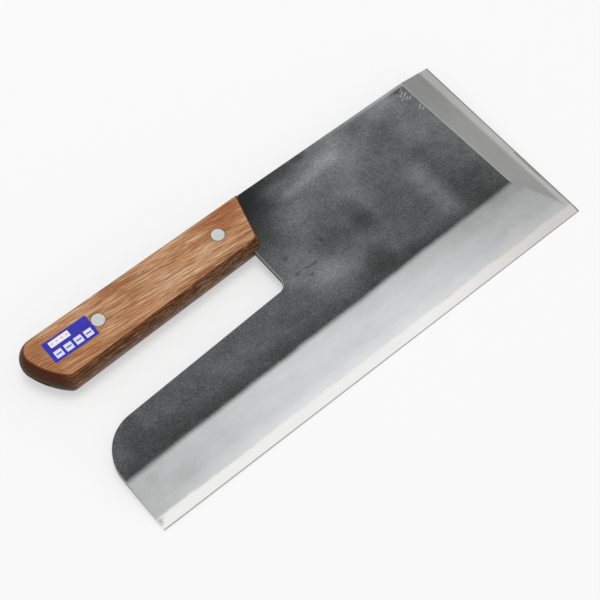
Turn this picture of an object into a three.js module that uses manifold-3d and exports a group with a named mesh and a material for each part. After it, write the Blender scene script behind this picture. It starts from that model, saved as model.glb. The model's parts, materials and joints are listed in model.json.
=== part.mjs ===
// A noodle-cutting cleaver: a broad single-bevel blade whose edge runs back under a riveted wooden handle.
//
// Blade frame, in millimetres: X along the cutting edge from heel to tip, Y from the edge to the spine,
// Z up from the flat back of the blade. The whole is then tilted to lie on a table as it does by its own
// weight, on the tip of its cutting edge and the two lower corners of the handle's underside.
import * as THREE from "three";
import { mergeVertices } from "three/addons/utils/BufferGeometryUtils.js";
import Module from "manifold-3d";

// Blade
const EDGE_LENGTH = 240;
const BLADE_HEIGHT = 103.2;
const BLADE_THICKNESS = 3.2;
const EDGE_THICKNESS = 0.1;
const HEEL_RADIUS = 20;
const HEEL_STRAIGHT = 28.2;
const NOTCH_X = 109.7;
const NOTCH_TOP_OF_LOBE = 53.2;
const NOTCH_FILLET = 5;
const CURVE_STEPS = 10;

// Ground faces: each is ruled between its inner line on the blade's face and the thin rim
const BEVEL_WIDTH_AT_HEEL = 25.7;
const BEVEL_WIDTH_AT_TIP = 30.9;
const TIP_BEVEL_WIDTH_AT_EDGE = 14.4;
const TIP_BEVEL_WIDTH_AT_SPINE = 17.6;
const TIP_THICKNESS = 0.35;
const BEVEL_STEPS = 8;

// Hard steel layer: thin over the back, full depth in the lips along the edge and the tip
const STEEL_LAYER = 0.4;
const STEEL_LAYER_HEIGHT = 42;
const EDGE_LIP = 5.4;
const TIP_LIP = 1.8;

// Gap between neighbouring solids
const GAP = 0.3;

// Handle: a wooden block with flat faces, domed sides and domed ends
const HANDLE_THICKNESS = 15.8;
const MID_PLANE = BLADE_THICKNESS / 2;
const SIDE_DOME = 2.7;
const BUTT_DOME = 3.1;
const NECK_DOME = 2.5;
const BUTT_LOW_CORNER = new THREE.Vector2(9, 72.6);
const NECK_LOW_CORNER = new THREE.Vector2(114.2, 75.7);
const NECK_CORNER_SETBACK = 2.5;
const NECK_CORNER_STEPS = 4;
const NECK_SPINE_CORNER = new THREE.Vector2(122, 103);
const BUTT_SPINE_CENTRE = new THREE.Vector2(6, 93.2);
const BUTT_SPINE_RADIUS = 8.95;
const SPINE_SIDE_ANGLE = THREE.MathUtils.degToRad(90.4);
const BUTT_JOIN_ANGLE = THREE.MathUtils.degToRad(195);
const DOME_LEVELS = 8;

// Slot for the tang, sawn from the spine side, and right through the block at the neck. The tang keeps the
// blade's flat back, thins towards the butt, and stops short of it.
const SLOT_FLOOR = 80.5;
const TANG_INSET = 0.5;
const TANG_BUTT_INSET = 4;
const TANG_THICKNESS_AT_BUTT = 1.4;

// Two-part flush rivets
const RIVET_PLACES = { front: new THREE.Vector2(100, 89.7), rear: new THREE.Vector2(34.1, 89) };
const RIVET_HEAD_RADIUS = 3.15;
const RIVET_HEAD_DEPTH = 1.6;
const RIVET_TUBE_RADIUS = 2.4;
const RIVET_BORE_RADIUS = 1.5;
const RIVET_PIN_RADIUS = 1.2;
const RIVET_SEGMENTS = 32;

// Adhesive label
const LABEL_LENGTH = 22.6;
const LABEL_WIDTH = 10.9;
const LABEL_THICKNESS = 0.2;
const LABEL_CORNER = 0.6;
const LABEL_CORNER_STEPS = 3;
const LABEL_CENTRE = new THREE.Vector2(19.6, 88.9);

const HANDLE_TOP = MID_PLANE + HANDLE_THICKNESS / 2;
const HANDLE_BOTTOM = MID_PLANE - HANDLE_THICKNESS / 2;

// How far cutters reach past what they cut
const BEYOND = 10;
const CUTTER_OVERRUN = 1;
const RULED_OVERRUN = 0.1;

const MERGE_DISTANCE = 1e-5;

const wasm = await Module();
wasm.setup();

// ---- solids ----

function solidFrom(geometry) {
  const bare = geometry.clone();
  bare.deleteAttribute("normal");
  bare.deleteAttribute("uv");
  const merged = mergeVertices(bare, MERGE_DISTANCE);
  return new wasm.Manifold(new wasm.Mesh({
    numProp: 3,
    vertProperties: merged.attributes.position.array,
    triVerts: new Uint32Array(merged.index.array),
  }));
}

function geometryFrom(solid) {
  const { vertProperties, triVerts } = solid.getMesh();
  const indexed = new THREE.BufferGeometry();
  indexed.setAttribute("position", new THREE.BufferAttribute(vertProperties, 3));
  indexed.setIndex(new THREE.BufferAttribute(triVerts, 1));
  const geometry = indexed.toNonIndexed();
  geometry.computeVertexNormals();
  return geometry;
}

// A plate of the given outline between two heights.
function plate(shape, low, high) {
  const geometry = new THREE.ExtrudeGeometry(shape, {
    depth: high - low,
    bevelEnabled: false,
    curveSegments: CURVE_STEPS,
  });
  geometry.translate(0, 0, low);
  return solidFrom(geometry);
}

function block(x0, x1, y0, y1, z0, z1) {
  const geometry = new THREE.BoxGeometry(x1 - x0, y1 - y0, z1 - z0);
  geometry.translate((x0 + x1) / 2, (y0 + y1) / 2, (z0 + z1) / 2);
  return solidFrom(geometry);
}

// A bar along X over the given depth, with a level underside and a top that slopes between two heights.
function wedge(x0, x1, y0, y1, low, highAtX0, highAtX1) {
  const section = (x, high) => [
    new THREE.Vector3(x, y0, low),
    new THREE.Vector3(x, y1, low),
    new THREE.Vector3(x, y1, high),
    new THREE.Vector3(x, y0, high),
  ];
  return loft([section(x0, highAtX0), section(x1, highAtX1)]);
}

function upright(radius, low, high, place) {
  const geometry = new THREE.CylinderGeometry(radius, radius, high - low, RIVET_SEGMENTS);
  geometry.rotateX(Math.PI / 2);
  geometry.translate(place.x, place.y, (low + high) / 2);
  return solidFrom(geometry);
}

// A closed body through a row of sections, each a ring of points with the same count, which run
// anticlockwise when seen from the last section.
function loft(sections) {
  const count = sections[0].length;
  const corners = sections.flat().flatMap((point) => point.toArray());
  const faces = [];
  for (let level = 0; level < sections.length - 1; level += 1) {
    for (let i = 0; i < count; i += 1) {
      const next = (i + 1) % count;
      const [a, b] = [level * count + i, level * count + next];
      faces.push(a, b, b + count, a, b + count, a + count);
    }
  }
  const last = (sections.length - 1) * count;
  for (let i = 1; i < count - 1; i += 1) {
    faces.push(0, i + 1, i);
    faces.push(last, last + i, last + i + 1);
  }
  const geometry = new THREE.BufferGeometry();
  geometry.setAttribute("position", new THREE.Float32BufferAttribute(corners, 3));
  geometry.setIndex(faces);
  return solidFrom(geometry);
}

// ---- blade ----

function bladeOutline() {
  const shape = new THREE.Shape();
  const heelCentre = new THREE.Vector2(HEEL_RADIUS, HEEL_STRAIGHT);
  const notch = new THREE.Vector2(NOTCH_X, NOTCH_TOP_OF_LOBE);
  // The lobe's top edge runs from the notch corner, tangent to the round heel corner.
  const away = notch.clone().sub(heelCentre);
  const tangentAngle = away.angle() + Math.acos(HEEL_RADIUS / away.length());
  const lobeSlope = tangentAngle - Math.PI / 2;
  // The notch corner is filleted between that edge and the upright edge.
  const setback = NOTCH_FILLET * Math.tan((Math.PI / 2 - lobeSlope) / 2);
  const filletCentre = new THREE.Vector2(NOTCH_X - NOTCH_FILLET, NOTCH_TOP_OF_LOBE + setback);
  shape.moveTo(0, 0);
  shape.lineTo(EDGE_LENGTH, 0);
  shape.lineTo(EDGE_LENGTH, BLADE_HEIGHT);
  shape.lineTo(NECK_SPINE_CORNER.x + GAP, BLADE_HEIGHT);
  shape.lineTo((NOTCH_X + NECK_SPINE_CORNER.x) / 2, (SLOT_FLOOR + BLADE_HEIGHT) / 2);
  shape.lineTo(NOTCH_X, (SLOT_FLOOR + BLADE_HEIGHT) / 2);
  shape.lineTo(NOTCH_X, filletCentre.y);
  shape.absarc(filletCentre.x, filletCentre.y, NOTCH_FILLET, 0, lobeSlope - Math.PI / 2, true);
  shape.absarc(heelCentre.x, heelCentre.y, HEEL_RADIUS, tangentAngle, Math.PI, false);
  shape.lineTo(0, 0);
  return shape;
}

// Everything above the long bevel, which rises from the edge to a line on the blade's face.
function longBevelCutter() {
  const sections = [];
  for (let step = 0; step <= BEVEL_STEPS; step += 1) {
    const along = THREE.MathUtils.lerp(-RULED_OVERRUN, 1 + RULED_OVERRUN, step / BEVEL_STEPS);
    const x = along * EDGE_LENGTH;
    const width = THREE.MathUtils.lerp(BEVEL_WIDTH_AT_HEEL, BEVEL_WIDTH_AT_TIP, along);
    const rise = (CUTTER_OVERRUN * (BLADE_THICKNESS - EDGE_THICKNESS)) / width;
    const outer = -CUTTER_OVERRUN;
    const inner = width + CUTTER_OVERRUN;
    sections.push([
      new THREE.Vector3(x, outer, EDGE_THICKNESS - rise),
      new THREE.Vector3(x, inner, BLADE_THICKNESS + rise),
      new THREE.Vector3(x, inner, BLADE_THICKNESS + BEYOND),
      new THREE.Vector3(x, outer, BLADE_THICKNESS + BEYOND),
    ]);
  }
  return loft(sections);
}

// Everything above the short bevel, which falls to the thin rim at the tip.
function tipBevelCutter() {
  const sections = [];
  for (let step = 0; step <= BEVEL_STEPS; step += 1) {
    const along = THREE.MathUtils.lerp(1 + RULED_OVERRUN, -RULED_OVERRUN, step / BEVEL_STEPS);
    const y = along * BLADE_HEIGHT;
    const width = THREE.MathUtils.lerp(TIP_BEVEL_WIDTH_AT_EDGE, TIP_BEVEL_WIDTH_AT_SPINE, along);
    const rise = (CUTTER_OVERRUN * (BLADE_THICKNESS - TIP_THICKNESS)) / width;
    const outer = EDGE_LENGTH + CUTTER_OVERRUN;
    const inner = EDGE_LENGTH - width - CUTTER_OVERRUN;
    sections.push([
      new THREE.Vector3(inner, y, BLADE_THICKNESS + rise),
      new THREE.Vector3(outer, y, TIP_THICKNESS - rise),
      new THREE.Vector3(outer, y, BLADE_THICKNESS + BEYOND),
      new THREE.Vector3(inner, y, BLADE_THICKNESS + BEYOND),
    ]);
  }
  return loft(sections);
}

// The space the hard steel takes, grown by a margin on the sides that face the iron.
function steelZone(margin) {
  const ends = [-BEYOND, EDGE_LENGTH + BEYOND];
  const top = STEEL_LAYER_HEIGHT + margin;
  const layer = block(...ends, -BEYOND, top, -BEYOND, STEEL_LAYER + margin);
  const edgeLip = block(...ends, -BEYOND, EDGE_LIP + margin, -BEYOND, BEYOND);
  const tipLip = block(EDGE_LENGTH - TIP_LIP - margin, ends[1], -BEYOND, top, -BEYOND, BEYOND);
  return layer.add(edgeLip).add(tipLip);
}

// ---- handle ----

// The block's widest outline, at mid thickness, as a ring of points that runs anticlockwise.
function handleOutline() {
  const ring = [BUTT_LOW_CORNER.clone()];
  // The low corner at the neck is eased.
  const setback = new THREE.Vector2(NECK_CORNER_SETBACK, 0);
  const neckTurn = new THREE.QuadraticBezierCurve(
    NECK_LOW_CORNER.clone().sub(setback.clone().rotateAround(new THREE.Vector2(), lowSideAngle())),
    NECK_LOW_CORNER,
    NECK_LOW_CORNER.clone().add(setback.clone().rotateAround(new THREE.Vector2(), neckAngle())),
  );
  ring.push(...neckTurn.getPoints(NECK_CORNER_STEPS));
  ring.push(NECK_SPINE_CORNER.clone());
  // At the butt a tight arc turns the spine side into a long one, which ends at the low corner.
  const tight = arc(BUTT_SPINE_CENTRE, BUTT_SPINE_RADIUS, SPINE_SIDE_ANGLE, BUTT_JOIN_ANGLE);
  const join = tight[tight.length - 1];
  const outward = new THREE.Vector2(1, 0).rotateAround(new THREE.Vector2(), BUTT_JOIN_ANGLE);
  const chord = BUTT_LOW_CORNER.clone().sub(join);
  const radius = -chord.lengthSq() / (2 * chord.dot(outward));
  const centre = join.clone().addScaledVector(outward, -radius);
  const turn = 2 * Math.asin(chord.length() / (2 * radius));
  const long = arc(centre, radius, BUTT_JOIN_ANGLE, BUTT_JOIN_ANGLE + turn);
  ring.push(...tight, ...long.slice(1, -1));
  return ring;
}

function lowSideAngle() {
  return NECK_LOW_CORNER.clone().sub(BUTT_LOW_CORNER).angle();
}

function neckAngle() {
  return NECK_SPINE_CORNER.clone().sub(NECK_LOW_CORNER).angle();
}

function arc(centre, radius, from, to) {
  return new THREE.EllipseCurve(centre.x, centre.y, radius, radius, from, to).getPoints(CURVE_STEPS);
}

// The ring moved inwards: each edge by what its direction asks for, each corner with its two edges.
function insetRing(ring, insetAlong) {
  const edges = ring.map((point, i) => {
    const along = ring[(i + 1) % ring.length].clone().sub(point).normalize();
    const normal = new THREE.Vector2(along.y, -along.x);
    return { normal, inset: insetAlong(normal) };
  });
  return ring.map((point, i) => {
    const before = edges[(i + ring.length - 1) % ring.length];
    const after = edges[i];
    const cross = before.normal.cross(after.normal);
    const dx = (before.inset * after.normal.y - after.inset * before.normal.y) / cross;
    const dy = (after.inset * before.normal.x - before.inset * after.normal.x) / cross;
    return new THREE.Vector2(point.x - dx, point.y - dy);
  });
}

// How far the flat faces' rim lies inside the widest outline, for a side that looks along the normal.
function domeAlong(normal) {
  const end = normal.x < 0 ? BUTT_DOME : NECK_DOME;
  return THREE.MathUtils.lerp(SIDE_DOME, end, normal.x ** 2);
}

function handleLevels() {
  const ring = handleOutline();
  const levels = [];
  for (let level = 0; level <= DOME_LEVELS; level += 1) {
    const height = (2 * level) / DOME_LEVELS - 1;
    const dome = height ** 2;
    const inset = insetRing(ring, (normal) => domeAlong(normal) * dome);
    const z = MID_PLANE + (height * HANDLE_THICKNESS) / 2;
    levels.push(inset.map((point) => new THREE.Vector3(point.x, point.y, z)));
  }
  return levels;
}

function insetOfTang(normal) {
  return THREE.MathUtils.lerp(TANG_INSET, TANG_BUTT_INSET, Math.max(0, -normal.x));
}

// The bar that the tang fills, grown by a margin all round, from beyond the butt to the notch.
function tangBar(margin) {
  const thinning = (BLADE_THICKNESS - TANG_THICKNESS_AT_BUTT) / NOTCH_X;
  const atEnd = TANG_THICKNESS_AT_BUTT - thinning * BEYOND + margin;
  const floor = SLOT_FLOOR + GAP - margin;
  return wedge(-BEYOND, NOTCH_X, floor, BLADE_HEIGHT + BEYOND, -margin, atEnd, BLADE_THICKNESS + margin);
}

function tang(holes) {
  const outline = new THREE.Shape(insetRing(handleOutline(), insetOfTang));
  const full = plate(outline, 0, BLADE_THICKNESS);
  const root = block(NOTCH_X, EDGE_LENGTH, SLOT_FLOOR + GAP, BLADE_HEIGHT, -BEYOND, BEYOND);
  return full.intersect(tangBar(0).add(root)).subtract(holes);
}

function handleSlot() {
  const top = BLADE_HEIGHT + BEYOND;
  const neck = block(NOTCH_X - GAP, EDGE_LENGTH, 0, top, -GAP, BLADE_THICKNESS + GAP);
  return tangBar(GAP).add(neck);
}

function rivetHole(place) {
  const head = RIVET_HEAD_RADIUS + GAP;
  const depth = RIVET_HEAD_DEPTH + GAP;
  const below = HANDLE_BOTTOM - CUTTER_OVERRUN;
  const above = HANDLE_TOP + CUTTER_OVERRUN;
  const shank = upright(RIVET_TUBE_RADIUS + GAP, below, above, place);
  const topSeat = upright(head, HANDLE_TOP - depth, above, place);
  const bottomSeat = upright(head, below, HANDLE_BOTTOM + depth, place);
  return shank.add(topSeat).add(bottomSeat);
}

// ---- rivets and label ----

// Profiles run from the axis outwards and back, with heights measured in the blade frame.
function rivetGeometry(profile) {
  const points = profile.map(([radius, height]) => new THREE.Vector2(radius, height));
  const geometry = new THREE.LatheGeometry(points, RIVET_SEGMENTS);
  geometry.rotateX(Math.PI / 2);
  return geometry;
}

function rivetTubeHalf() {
  const seat = HANDLE_TOP - RIVET_HEAD_DEPTH;
  const mouth = HANDLE_BOTTOM + RIVET_HEAD_DEPTH + 2 * GAP;
  return rivetGeometry([
    [0, seat - GAP],
    [RIVET_BORE_RADIUS, seat - GAP],
    [RIVET_BORE_RADIUS, mouth],
    [RIVET_TUBE_RADIUS, mouth],
    [RIVET_TUBE_RADIUS, seat],
    [RIVET_HEAD_RADIUS, seat],
    [RIVET_HEAD_RADIUS, HANDLE_TOP],
    [0, HANDLE_TOP],
  ]);
}

function rivetPinHalf() {
  const seat = HANDLE_BOTTOM + RIVET_HEAD_DEPTH;
  const end = HANDLE_TOP - RIVET_HEAD_DEPTH - 3 * GAP;
  return rivetGeometry([
    [0, HANDLE_BOTTOM],
    [RIVET_HEAD_RADIUS, HANDLE_BOTTOM],
    [RIVET_HEAD_RADIUS, seat],
    [RIVET_PIN_RADIUS, seat],
    [RIVET_PIN_RADIUS, end],
    [0, end],
  ]);
}

function labelGeometry() {
  const [x, y] = [LABEL_LENGTH / 2, LABEL_WIDTH / 2];
  const shape = new THREE.Shape();
  shape.absarc(x - LABEL_CORNER, y - LABEL_CORNER, LABEL_CORNER, 0, Math.PI / 2);
  shape.absarc(LABEL_CORNER - x, y - LABEL_CORNER, LABEL_CORNER, Math.PI / 2, Math.PI);
  shape.absarc(LABEL_CORNER - x, LABEL_CORNER - y, LABEL_CORNER, Math.PI, 1.5 * Math.PI);
  shape.absarc(x - LABEL_CORNER, LABEL_CORNER - y, LABEL_CORNER, 1.5 * Math.PI, 2 * Math.PI);
  return new THREE.ExtrudeGeometry(shape, {
    depth: LABEL_THICKNESS,
    bevelEnabled: false,
    curveSegments: LABEL_CORNER_STEPS,
  });
}

// ---- assembly ----

const IRON = { color: 0x3b3f42, roughness: 0.6, metalness: 0.8 };
const STEEL = { color: 0xd4d6d6, roughness: 0.25, metalness: 1 };
const WOOD = { color: 0xa8703f, roughness: 0.6, metalness: 0 };
const ALUMINIUM = { color: 0xc9ccce, roughness: 0.4, metalness: 1 };
const LABEL_BLUE = { color: 0x2a35a0, roughness: 0.5, metalness: 0 };

function part(name, geometry, finish, x = 0, y = 0, z = 0) {
  const mesh = new THREE.Mesh(geometry, new THREE.MeshStandardMaterial(finish));
  mesh.name = name;
  mesh.position.set(x, y, z);
  return mesh;
}

const places = Object.values(RIVET_PLACES);
const tangHoles = places
  .map((place) => upright(RIVET_TUBE_RADIUS + GAP, -BEYOND, BEYOND, place))
  .reduce((all, hole) => all.add(hole));
const seats = places.map(rivetHole).reduce((all, hole) => all.add(hole));

const ground = plate(bladeOutline(), 0, BLADE_THICKNESS)
  .subtract(longBevelCutter())
  .subtract(tipBevelCutter());
const iron = ground.subtract(steelZone(GAP)).add(tang(tangHoles));
const steel = ground.intersect(steelZone(0));
const levels = handleLevels();
const wood = loft(levels).subtract(handleSlot()).subtract(seats);

const knife = new THREE.Group();
knife.add(part("soft_iron_blade_body", geometryFrom(iron), IRON));
knife.add(part("hard_steel_cutting_edge", geometryFrom(steel), STEEL));
knife.add(part("wooden_handle_block", geometryFrom(wood), WOOD));
for (const [where, place] of Object.entries(RIVET_PLACES)) {
  knife.add(part(`${where}_rivet_tube_half`, rivetTubeHalf(), ALUMINIUM, place.x, place.y));
  knife.add(part(`${where}_rivet_pin_half`, rivetPinHalf(), ALUMINIUM, place.x, place.y));
}
knife.add(part("blank_label", labelGeometry(), LABEL_BLUE, LABEL_CENTRE.x, LABEL_CENTRE.y, HANDLE_TOP + GAP));

// The table's upward normal in the blade frame, through the edge's tip and the underside's lower corners.
// The neck's eased corner touches where the table leans least on the way from the butt's.
function tableNormal() {
  const tip = new THREE.Vector3(EDGE_LENGTH, 0, 0);
  const [buttCorner, ...others] = levels[0];
  const toButt = buttCorner.clone().sub(tip);
  const normals = others
    .slice(0, NECK_CORNER_STEPS + 1)
    .map((corner) => corner.clone().sub(tip).cross(toButt).normalize());
  return normals.reduce((best, normal) => (normal.y > best.y ? normal : best));
}

const up = tableNormal();
knife.rotation.set(Math.atan2(up.y, up.z), Math.asin(-up.x), 0, "YXZ");
const bounds = new THREE.Box3().setFromObject(knife, true);
const centre = bounds.getCenter(new THREE.Vector3());
knife.position.set(-centre.x, -centre.y, -bounds.min.z);

const cleaver = new THREE.Group();
cleaver.add(knife);

export default cleaver;
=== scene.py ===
import json
import math

import bpy
import numpy as np
from mathutils import Matrix, Vector
from mathutils.geometry import delaunay_2d_cdt


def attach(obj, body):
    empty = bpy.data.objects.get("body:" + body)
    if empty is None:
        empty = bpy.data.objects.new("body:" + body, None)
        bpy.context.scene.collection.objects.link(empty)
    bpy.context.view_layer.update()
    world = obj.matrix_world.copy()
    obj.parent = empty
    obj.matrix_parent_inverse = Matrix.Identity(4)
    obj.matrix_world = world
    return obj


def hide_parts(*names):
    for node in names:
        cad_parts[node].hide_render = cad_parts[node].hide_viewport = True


# A noodle-cutting cleaver. Meshes are made in the blade frame: X along the cutting edge from heel
# to tip, Y from the edge to the spine, Z up from the flat back. Lengths are in millimetres unless a
# name ends in _M.
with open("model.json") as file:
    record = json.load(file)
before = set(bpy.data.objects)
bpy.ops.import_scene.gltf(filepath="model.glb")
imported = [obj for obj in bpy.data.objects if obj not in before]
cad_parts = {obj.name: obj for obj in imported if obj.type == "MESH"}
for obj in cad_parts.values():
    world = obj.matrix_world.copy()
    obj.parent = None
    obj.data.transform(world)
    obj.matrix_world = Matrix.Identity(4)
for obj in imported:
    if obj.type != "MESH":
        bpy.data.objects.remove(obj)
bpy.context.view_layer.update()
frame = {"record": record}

MM = 0.001

# Blade
EDGE_LENGTH = 240.0
BLADE_HEIGHT = 103.19
BLADE_THICKNESS = 3.2
EDGE_THICKNESS = 0.1
HEEL_CENTRE = np.array([20.0, 28.2])
HEEL_RADIUS = 20.0
NOTCH = np.array([109.7, 53.2])
NOTCH_FILLET = 5.0
BEVEL_WIDTH_AT_HEEL = 25.7
BEVEL_WIDTH_AT_TIP = 30.9
TIP_BEVEL_WIDTH_AT_EDGE = 14.4
TIP_BEVEL_WIDTH_AT_SPINE = 17.6
TIP_THICKNESS = 0.35
STEEL_LAYER = 0.4
STEEL_LAYER_HEIGHT = 42.0
EDGE_LIP = 5.4
TIP_LIP = 1.8
CHAMFER = 0.15
CHAMFER_DROP = 0.12
CHAMFER_SHARE = 0.3
ARC_STEPS = 40
RULE_STEPS = 16
BLADE_CREASE = math.radians(4)
BEVEL_RISE = (BEVEL_WIDTH_AT_TIP - BEVEL_WIDTH_AT_HEEL) / EDGE_LENGTH
TIP_SPREAD = (TIP_BEVEL_WIDTH_AT_SPINE - TIP_BEVEL_WIDTH_AT_EDGE) / BLADE_HEIGHT
MITRE_END_GAP = 0.001
MITRE_END_Y = 0.01
FIRST_STEP = 1.0
HALVINGS = 60
TRIANGULATION_GAP = 1e-5
LEVEL_GAP = 1e-6
HEIGHT_DIGITS = 6
# The blade's outline inside the handle, from the spine corner of the neck and from the slot's floor
HIDDEN_NECK_BACK = 5.5
HIDDEN_NECK_HEIGHT = 12.0
# The record's mount on the flat back of the blade
MOUNT_PLACE = (120, 22, 0)

# Handle
HANDLE_THICKNESS = 15.8
MID_PLANE = 1.6
HANDLE_TOP = MID_PLANE + HANDLE_THICKNESS / 2
HANDLE_BOTTOM = MID_PLANE - HANDLE_THICKNESS / 2
SIDE_DOME = 2.7
BUTT_DOME = 3.1
NECK_DOME = 2.5
BUTT_LOW_CORNER = np.array([9.0, 72.6])
NECK_LOW_CORNER = np.array([114.2, 75.7])
NECK_SPINE_CORNER = np.array([122.0, 103.0])
NECK_CORNER_SETBACK = 2.5
BUTT_CORNER_SETBACK = 1.2
BUTT_CORNER_CLEAR = 1.6 * BUTT_CORNER_SETBACK
SPINE_CORNER_SETBACK = 0.6
CORNER_STEPS = 8
BUTT_SPINE_CENTRE = np.array([6.0, 93.2])
BUTT_SPINE_RADIUS = 8.95
SPINE_SIDE_ANGLE = math.radians(90.4)
BUTT_JOIN_ANGLE = math.radians(195)
HANDLE_LEVELS = 28
ARRIS_RADIUS = 0.7
ARRIS_STEPS = 6
SHRINK = 0.04
HANDLE_CREASE = math.radians(28)
FIT = 0.1
SLOT_FLOOR = 80.5
TANG_CLEARANCE = 0.3
TANG_INSET = 0.5
TANG_BUTT_INSET = 4.0
TANG_THICKNESS_AT_BUTT = 1.4
BEYOND = 10.0

# Rivets
RIVETS = {"front": (100.0, 89.7), "rear": (34.1, 89.0)}
RIVET_HEAD_RADIUS = 3.15
RIVET_HEAD_DEPTH = 1.6
RIVET_TUBE_RADIUS = 2.4
RIVET_BORE_RADIUS = 1.5
RIVET_PIN_RADIUS = 1.2
RIVET_CROWN = 0.02
RIVET_EDGE = 0.08
RIVET_SEAT_GAP = 0.2
SEAT_OVERRUN = 1.0
# The crown of a head: shares of its radius, and how much of the crown's drop is reached there
CROWN_SHARES = ((0.7, 0.5), (0.35, 0.12))
EDGE_SHARE = 0.3
RIVET_CLEARANCE = 0.3
RIVET_SEGMENTS = 96
RIVET_CREASE = math.radians(40)

# Label
LABEL_CENTRE = np.array([19.6, 88.9])
LABEL_LENGTH = 22.6
LABEL_WIDTH = 10.9
LABEL_CORNER = 0.6
LABEL_FILM = 0.06
# Its print, from the corner nearest the heel and the edge
PRINT_SOFT = 0.06
BAR_ALONG = (2.6, 12.6)
BAR_ACROSS = (6.9, 9.9)
DASH_PITCH = 2.5
DASH_ACROSS = (7.9, 8.9)
BLOCKS_ALONG = (1.4, 21.6)
BLOCKS_ACROSS = (1.3, 4.9)
BLOCK_START = 1.2
BLOCK_PITCH = 5.1
BLOCK_SLIT_ACROSS = (2.75, 3.45)

# Camera in the blade frame: where it stands, what it looks at, and its turn from having +Y up the
# picture
CAMERA_PLACE = (-101.2, -165.3, 558.8)
CAMERA_AIM = (110.6, 45.6, 0.0)
CAMERA_ROLL = math.radians(43.4)
CAMERA_LENS = 86.65
CAMERA_SENSOR = 36.0


# ---- placing ----

def blade_frame():
    """The blade frame's place, from the mount on the flat back: its axis looks out of the back."""
    mounts = {m["name"]: m for m in frame["record"]["mounts"]}
    back = mounts["blade_back"]
    up = -Vector(back["axis"]).normalized()
    along = Vector((up.z, 0, -up.x)).normalized()
    across = up.cross(along)
    turn = Matrix((along, across, up)).transposed()
    origin = Vector(back["pos_m"]) - turn @ Vector([c * MM for c in MOUNT_PLACE])
    return Matrix.Translation(origin) @ turn.to_4x4()


KNIFE = blade_frame()


def piece(name, points, faces, crease):
    """A mesh object from points of the blade frame, smooth but for edges sharper than crease."""
    mesh = bpy.data.meshes.new(name)
    mesh.from_pydata([KNIFE @ (Vector([float(c) for c in p]) * MM) for p in points], [], faces)
    mesh.validate()
    return placed(name, mesh, crease)


def placed(name, mesh, crease):
    """The mesh in the scene, smooth but for edges sharper than crease."""
    mesh.polygons.foreach_set("use_smooth", [True] * len(mesh.polygons))
    mesh.set_sharp_from_angle(angle=crease)
    obj = bpy.data.objects.new(name, mesh)
    bpy.context.scene.collection.objects.link(obj)
    return obj


def finished(obj, material, slot, *nodes):
    """The object with its material and weighted normals, under the root body, and the CAD nodes it
    replaces hidden.
    """
    obj.data.materials.clear()
    obj.data.materials.append(material)
    weighted = obj.modifiers.new("weighted normals", "WEIGHTED_NORMAL")
    weighted.keep_sharp = True
    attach(obj, "root")
    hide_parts(*nodes)


# ---- outlines ----

def arc(centre, radius, start, end, steps=ARC_STEPS):
    angles = np.linspace(start, end, steps + 1)
    return [centre + radius * np.array([math.cos(a), math.sin(a)]) for a in angles]


def eased(before, corner, after, setback):
    """A quadratic curve that cuts a corner at the given distance along its two sides."""
    first = corner + setback * unit(before - corner)
    last = corner + setback * unit(after - corner)
    shares = np.linspace(0, 1, CORNER_STEPS + 1)
    return [(1 - s) ** 2 * first + 2 * s * (1 - s) * corner + s ** 2 * last for s in shares]


def unit(vector):
    return vector / np.linalg.norm(vector)


def blade_outline():
    """All but the tang: edge, tip, spine, hidden neck, filleted notch and round heel."""
    away = NOTCH - HEEL_CENTRE
    tangent = math.atan2(away[1], away[0]) + math.acos(HEEL_RADIUS / np.linalg.norm(away))
    slope = tangent - math.pi / 2
    setback = NOTCH_FILLET * math.tan((math.pi / 2 - slope) / 2)
    fillet = np.array([NOTCH[0] - NOTCH_FILLET, NOTCH[1] + setback])
    ring = [np.array(p) for p in ((0, 0), (EDGE_LENGTH, 0), (EDGE_LENGTH, BLADE_HEIGHT))]
    ring.append(np.array([NECK_SPINE_CORNER[0] + FIT, BLADE_HEIGHT]))
    neck_y = SLOT_FLOOR + HIDDEN_NECK_HEIGHT
    ring.append(np.array([NECK_SPINE_CORNER[0] - HIDDEN_NECK_BACK, neck_y]))
    ring.append(np.array([NOTCH[0], neck_y]))
    ring += arc(fillet, NOTCH_FILLET, 0, slope - math.pi / 2)
    ring += arc(HEEL_CENTRE, HEEL_RADIUS, tangent, math.pi)
    return ring


def handle_outline():
    """The butt is one long arc that runs on from a tight one at the corner of the spine."""
    outward = np.array([math.cos(BUTT_JOIN_ANGLE), math.sin(BUTT_JOIN_ANGLE)])
    join = BUTT_SPINE_CENTRE + BUTT_SPINE_RADIUS * outward
    chord = BUTT_LOW_CORNER - join
    radius = -chord.dot(chord) / (2 * chord.dot(outward))
    turn = 2 * math.asin(np.linalg.norm(chord) / (2 * radius))
    long_arc = arc(join - outward * radius, radius, BUTT_JOIN_ANGLE, BUTT_JOIN_ANGLE + turn)
    kept = [p for p in long_arc[1:] if np.linalg.norm(p - BUTT_LOW_CORNER) > BUTT_CORNER_CLEAR]
    tight = arc(BUTT_SPINE_CENTRE, BUTT_SPINE_RADIUS, SPINE_SIDE_ANGLE, BUTT_JOIN_ANGLE)
    return [BUTT_LOW_CORNER, NECK_LOW_CORNER, NECK_SPINE_CORNER] + tight + kept


def with_eased_corners(ring):
    """The handle's ring with a curve at each of its first three corners."""
    curves = []
    for i, setback in enumerate((BUTT_CORNER_SETBACK, NECK_CORNER_SETBACK, SPINE_CORNER_SETBACK)):
        curves += eased(ring[i - 1], ring[i], ring[i + 1], setback)
    return curves + list(ring[3:])


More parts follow.
